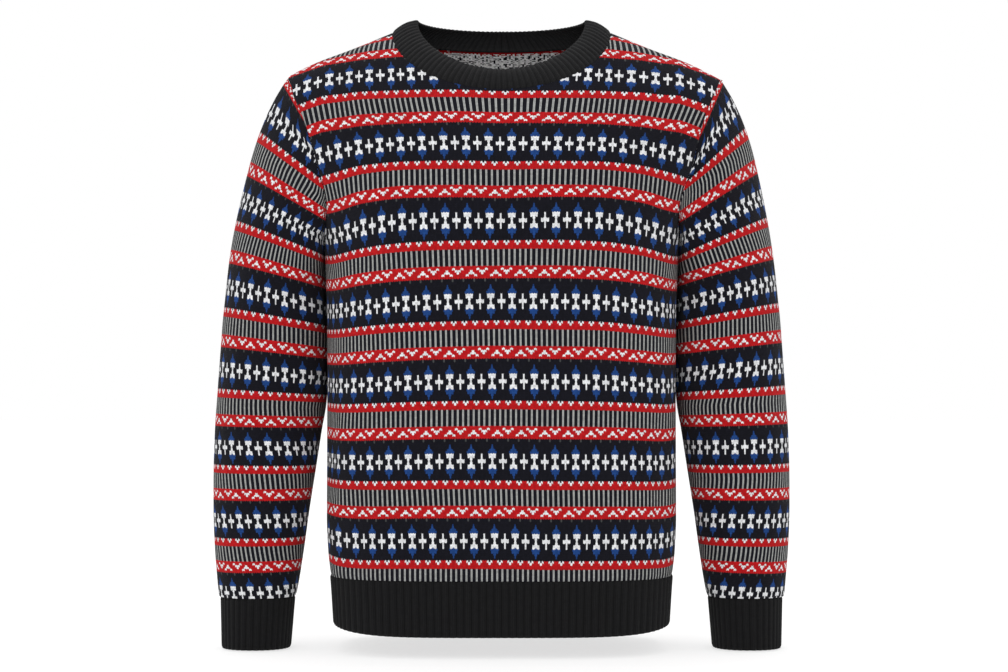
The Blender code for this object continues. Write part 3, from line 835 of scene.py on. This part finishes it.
class Finish:
    def __init__(self, name):
        self.material = bpy.data.materials.new(name)
        self.material.use_nodes = True
        self.tree = self.material.node_tree
        self.shader = self.tree.nodes["Principled BSDF"]

    def node(self, kind, settings, inputs):
        made = self.tree.nodes.new(kind)
        for key, value in settings.items():
            setattr(made, key, value)
        for key, value in inputs.items():
            if isinstance(value, Value):
                self.tree.links.new(value.socket, made.inputs[key])
            else:
                made.inputs[key].default_value = value
        return made

    def setShader(self, values):
        for key, value in values.items():
            self.shader.inputs[key].default_value = value

    def math(self, operation, *terms):
        made = self.node("ShaderNodeMath", {"operation": operation}, dict(enumerate(terms)))
        return Value(self, made.outputs[0])

    def mix(self, share, first, second, blend="MIX"):
        settings = {"data_type": "RGBA", "blend_type": blend}
        made = self.node("ShaderNodeMix", settings, {0: share, 6: first, 7: second})
        return Value(self, made.outputs[2])

    def floor(self, value):
        return self.math("FLOOR", value)

    def near(self, value, wanted):  # 1 where a whole number is the wanted one
        return self.math("COMPARE", value, wanted, 0.5)

    def stitchPlace(self):
        uv = self.node("ShaderNodeUVMap", {"uv_map": "stitches"}, {})
        parts = self.node("ShaderNodeSeparateXYZ", {}, {0: Value(self, uv.outputs[0])})
        return Value(self, parts.outputs[0]), Value(self, parts.outputs[1])

    def speckle(self, column, row, seed):  # a value of its own for each stitch
        place = self.node("ShaderNodeCombineXYZ", {}, {0: column, 1: row, 2: seed})
        inputs = {0: Value(self, place.outputs[0])}
        noise = self.node("ShaderNodeTexWhiteNoise", {"noise_dimensions": "3D"}, inputs)
        return Value(self, noise.outputs["Value"])

    def noise(self, scale, detail):
        place = self.node("ShaderNodeTexCoord", {}, {})
        inputs = {"Vector": Value(self, place.outputs["Object"]), "Scale": scale, "Detail": detail}
        return Value(self, self.node("ShaderNodeTexNoise", {}, inputs).outputs[0])

    def yarnTone(self, column, row, look):  # each stitch and its fibres a little lighter or darker
        own = self.speckle(self.floor(column), row, look["seed"]) * look["own"] + (1 - look["own"] / 2)
        fibres = self.noise(wool["fibreScale"], wool["fibreDetail"])
        return own * (fibres * look["fibre"] + (1 - look["fibre"] / 2))

    def tint(self, colour, tone):
        grey = self.node("ShaderNodeCombineColor", {}, {0: tone, 1: tone, 2: tone})
        return self.mix(1.0, colour, Value(self, grey.outputs[0]), "MULTIPLY")

    def finishWith(self, colour, height, look):
        inputs = {"Strength": look["bump"], "Distance": look["bumpDepth"], "Height": height}
        bump = self.node("ShaderNodeBump", {}, inputs)
        self.tree.links.new(bump.outputs[0], self.shader.inputs["Normal"])
        self.tree.links.new(colour.socket, self.shader.inputs["Base Color"])
        self.setShader(wool["shader"])
        self.setShader({"Roughness": look["roughness"]})
        return self.material


def shade(red, green, blue):
    parts = [c / 255 for c in (red, green, blue)]
    return tuple(c / 12.92 if c <= 0.04045 else ((c + 0.055) / 1.055) ** 2.4 for c in parts) + (1.0,)


wool = {
    "shader": {
        "Specular IOR Level": 0.1,
        "Sheen Weight": 0.03,
        "Sheen Roughness": 0.5,
        "Sheen Tint": (1, 1, 1, 1),
    },
    "fibreScale": 900.0,
    "fibreDetail": 3.0,
}
yarn = {
    "red": shade(181, 21, 26),
    "white": shade(228, 229, 231),
    "blue": shade(29, 65, 126),
    "grey": shade(160, 161, 159),
    "dark": shade(18, 18, 26),
    "speck": shade(66, 68, 68),
    "strand": shade(238, 238, 238),
    "roughness": 0.88,
    "bump": 0.7,
    "bumpDepth": 0.0006,
    "chevron": 0.4,  # how deep the V of a stitch is, in rows
    "seed": 0.5,
    "own": 0.28,  # how much stitches differ in tone
    "fibre": 0.3,
    "paintedStitchShading": 0.46,  # painted shade and light: how much lighter the top of a stitch is painted than its edges
    # painted shade: the tone that a stitch is painted at its edges
    "edge": 0.66,
    "flat": 0.6,  # of a stitch's height, what its rounding down the stitch leaves
    "strandSeed": 2.5,
    "strandGap": 0.42,  # share of the places behind the bars with no strand
    "loopRound": 0.6,  # how rounded the loops on the inside are
}


chart = {  # the 36 rows of the pattern, drawn as half widths in stitches from the middle of each figure
    "figures": 8,  # stitches from one upright figure to the next, with a cross between
    "postMiddle": 4,
    "post": [[12, 1.36], [13, 1.28], [14, 0.46], [15, 0.3], [16, 0.46], [17, 1.3], [18, 1.36]],
    "foot": [18.4, 19, 0.3],  # the blue reaches up between the feet of a post
    "cross": [[12, 0.28], [13, 0.28], [14, 0.3], [15, 0.3], [16, 0.3], [17, 0.28], [18, 0.28]],
    "arms": [15.5, 0.85, 1.45],  # middle, half height and half width of the arms of a cross
    "tips": [[8, 0.22], [9, 0.38], [10, 1.15], [11, 1.65], [19, 1.7], [20, 1.35], [21, 0.55], [22, 0.24]],
    "zigzag": 9,  # stitches from one V to the next
    "dipMiddle": 2,
    "dips": [[1, 2.1], [2, 1.08], [3, 0.44]],
    "peakMiddle": 7,
    "peaks": [[2, 0.44], [3, 1.08], [4, 2.1]],
    "cleft": 1.0,  # the open middle of a V's widest row
    "toothRepeat": 4,
    "toothMiddle": 2,
    "teeth": [[24, 1.06], [25, 0.42]],
    "toothCleft": [24.6, 0.35],
    "barRepeat": 2,
    "barMiddle": 1,
    "bar": 0.34,
    "speckRow": 6,
    "speck": 0.3,
    "redEnd": 5.5,  # places between two rows, where the ground or the carried yarn changes
    "figureStart": 7.5,
    "toothStart": 23.5,
    "strandStart": 26.5,
    "barStart": 27.5,
}


def drawRows(finish, away, row, widths):  # a figure, from how wide it is in each row
    figure = 0
    for line, width in widths:
        figure = finish.near(row, line) * (away < width) + figure
    return figure


def awayFrom(place, middle, repeat):  # distance from the middle of the nearest figure
    return abs((place + (repeat / 2 - middle)) % repeat - repeat / 2)


def drawZigzag(finish, place, row, kind):  # Vs that hang from their widest row or stand on it
    away = awayFrom(place, chart[kind + "Middle"], chart["zigzag"])
    lines = chart[kind + "s"]
    widest = max(lines, key=lambda line: line[1])[0]
    return drawRows(finish, away, row, lines) - finish.near(row, widest) * (away < chart["cleft"])


def makeYarnMasks(finish, place, row, height):  # where each yarn shows over the ground
    fromPost = awayFrom(place, chart["postMiddle"], chart["figures"])
    footStart, footEnd, footWidth = chart["foot"]
    foot = (height > footStart) * (height < footEnd) * (fromPost < footWidth)
    posts = drawRows(finish, fromPost, row, chart["post"]) - foot
    fromCross = awayFrom(place, 0, chart["figures"])
    armMiddle, armHeight, armWidth = chart["arms"]
    arms = (abs(height - armMiddle) < armHeight) * (fromCross < armWidth)
    crosses = finish.math("MAXIMUM", drawRows(finish, fromCross, row, chart["cross"]), arms)
    fromTooth = awayFrom(place, chart["toothMiddle"], chart["toothRepeat"])
    cleftEnd, cleftWidth = chart["toothCleft"]
    cleft = (height < cleftEnd) * (fromTooth < cleftWidth) * (row > chart["toothStart"])
    teeth = drawRows(finish, fromTooth, row, chart["teeth"]) - cleft
    zigzags = drawZigzag(finish, place, row, "dip") + drawZigzag(finish, place, row, "peak")
    fromBar = awayFrom(place, chart["barMiddle"], chart["barRepeat"])
    redTeeth = (row > chart["toothStart"]) * (row < chart["barStart"]) - cleft
    return {
        "red": (row < chart["redEnd"]) + redTeeth,
        "white": zigzags + posts + crosses + teeth,
        "blue": drawRows(finish, fromPost, row, chart["tips"]) + foot,
        "grey": (fromBar < chart["bar"]) * (row > chart["barStart"]),
        "speck": (fromTooth < chart["speck"]) * finish.near(row, chart["speckRow"]),
    }


def rounded(share, power):  # 1 in the middle and 0 at both ends
    return 1 - (share * 2 - 1) ** power


def makeFairIsle(name, inside):
    finish = Finish(name)
    u, v = finish.stitchPlace()
    slanted = v if inside else v - (1 - abs((u % 1) * 2 - 1)) * yarn["chevron"]
    line = finish.floor(slanted)
    row = line % knit["repeat"]
    part = slanted - line  # the way down one stitch
    colour = yarn["dark"]
    for kind, mask in makeYarnMasks(finish, u - 0.5, row, row + part).items():
        if inside and kind == "white":  # the white is carried behind, and shows between
            mask = abs(mask - (part > 0.5) * (row > chart["figureStart"]) * (row < chart["toothStart"]))
        colour = finish.mix(mask, colour, yarn[kind])
    if inside:  # strands carried behind the bars show as light flecks
        fleck = finish.speckle(finish.floor(u * 1.5), finish.floor(v * 2), yarn["strandSeed"])
        flecks = (fleck > yarn["strandGap"]) * (row > chart["strandStart"])
        colour = finish.mix(flecks, colour, yarn["strand"])
        loop = ((u + finish.floor(v) * 0.5) % 1) * 2 - 1
        height = rounded((v * 2) % 1, 2) * (1 - loop**2 * yarn["loopRound"])
    else:
        height = rounded((u * 2) % 1, 2) * (rounded(part, 4) * (1 - yarn["flat"]) + yarn["flat"])
    # the stitch's own random tone, times painted shade at its edges and painted light on its top
    tone = finish.yarnTone(u, line, yarn) * (height * yarn["paintedStitchShading"] + yarn["edge"])
    return finish.finishWith(finish.tint(colour, tone), height, yarn)


rib = {
    "colour": shade(19, 19, 20),
    # the same black rib, painted lighter for the light that falls on the neckband, which faces up
    "neckPaintedLightColour": shade(26, 26, 27),
    "roughness": 0.85,
    "bump": 0.8,
    "bumpDepth": 0.0005,
    "chevron": 0.6,
    "seed": 1.5,
    "own": 0.24,
    "fibre": 0.4,
    # painted shade at the edges of each stitch and painted light on its top, as on the yarn
    "paintedStitchShading": 0.5,
    "edge": 0.7,
    "rounding": 0.5,  # how much lower a stitch is at its upper and lower end
    "top": 1.15,  # painted light: how much lighter the top of a rib is painted
    "groove": 0.6,  # painted shade: how much darker it is painted between two ribs
}


def makeRib(name, colour):
    finish = Finish(name)
    u, v = finish.stitchPlace()
    slanted = v - (1 - abs((u % 1) * 2 - 1)) * rib["chevron"]
    line = finish.floor(slanted)
    height = rounded((u * 2) % 1, 2) * (1 - ((slanted - line) * 2 - 1) ** 4 * rib["rounding"])
    fromRib = abs((u * 0.5) % 1 * 2 - 1)  # 0 on top of a rib, 1 in the groove
    # the stitch's own random tone, times painted shade at its edges and painted light on its top
    tone = finish.yarnTone(u, line, rib) * (height * rib["paintedStitchShading"] + rib["edge"])
    # painted light on the tops of the ribs and painted shade in the grooves between them
    tone = tone * (rib["top"] - fromRib**4 * rib["groove"])
    return finish.finishWith(finish.tint(colour, tone), height, rib)


fairIsleOutside = makeFairIsle("fairIsleOutside", False)
fairIsleInside = makeFairIsle("fairIsleInside", True)
darkRib = makeRib("darkRib", rib["colour"])
# the rib finish again, painted lighter as light from above on the neckband
neckRibPaintedLight = makeRib("neckRibPaintedLight", rib["neckPaintedLightColour"])
print("finishes made")

frontPanel = makePanel("front_panel", front, "front")
backPanel = makePanel("back_panel", back, "back")
leftSleeve = makeSleeve("left_sleeve", left, "sleeve_left")
rightSleeve = makeSleeve("right_sleeve", right, "sleeve_right")
leftCuff = makeCuff("left_cuff", left, "cuff_left")
rightCuff = makeCuff("right_cuff", right, "cuff_right")
frontHem = makeHem("front_hem", front, "hem_rib_front")
backHem = makeHem("back_hem", back, "hem_rib_back")
neckband = makeNeckband("neck_rib", "neckband")


# floor, light and camera, in metres

stage = {
    "floorHeight": -0.6895,
    "floorSize": 12.0,
    "floorShader": {  # a lit table, so that what stands on it throws a faint shadow
        "Base Color": (0.42, 0.42, 0.42, 1),
        "Emission Color": (1, 1, 1, 1),
        "Emission Strength": 0.66,
        "Roughness": 0.9,
        "Specular IOR Level": 0.0,
    },
    "world": 1.0,
    "camera": (0.00104, -2.1408, -0.3905),
    "lookAt": (0.00278, 0.0, -0.3402),
    "lens": 67.64,
    "sensor": 36,
    "lampsLookAt": (0, 0, -0.33),
}
lamps = {
    "key": {"place": (-1.2, -2.4, 1.2), "size": 1.6, "watts": 8},
    "top": {"place": (0.0, 0.5, 1.9), "size": 1.6, "watts": 14},
}


def makeFloor():
    mesh = bmesh.new()
    bmesh.ops.create_grid(mesh, x_segments=4, y_segments=4, size=stage["floorSize"])
    bmesh.ops.translate(mesh, verts=mesh.verts, vec=(0, 0, stage["floorHeight"]))
    data = bpy.data.meshes.new("floor")
    mesh.to_mesh(data)
    mesh.free()
    pale = Finish("paleFloor")
    pale.setShader(stage["floorShader"])
    data.materials.append(pale.material)
    floor = bpy.data.objects.new("floor", data)
    bpy.context.scene.collection.objects.link(floor)


def pointAt(thing, target):
    way = Vector(target) - thing.location
    thing.rotation_euler = way.to_track_quat("-Z", "Y").to_euler()


def makeLights():
    world = bpy.data.worlds.new("studio")
    bpy.context.scene.world = world
    world.use_nodes = True
    background = world.node_tree.nodes["Background"]
    background.inputs["Color"].default_value = (1, 1, 1, 1)
    background.inputs["Strength"].default_value = stage["world"]
    for name, lamp in lamps.items():
        light = bpy.data.lights.new(name, "AREA")
        light.energy, light.size = lamp["watts"], lamp["size"]
        placed = bpy.data.objects.new(name, light)
        placed.location = lamp["place"]
        pointAt(placed, stage["lampsLookAt"])
        bpy.context.scene.collection.objects.link(placed)


def makeCamera():
    lens = bpy.data.cameras.new("camera")
    lens.lens, lens.sensor_width = stage["lens"], stage["sensor"]
    camera = bpy.data.objects.new("camera", lens)
    camera.location = stage["camera"]
    pointAt(camera, stage["lookAt"])
    bpy.context.scene.collection.objects.link(camera)
    bpy.context.scene.camera = camera


makeFloor()
makeLights()
makeCamera()
bpy.context.scene.view_settings.view_transform = "Standard"
print("stage made")

bpy.context.view_layer.update()
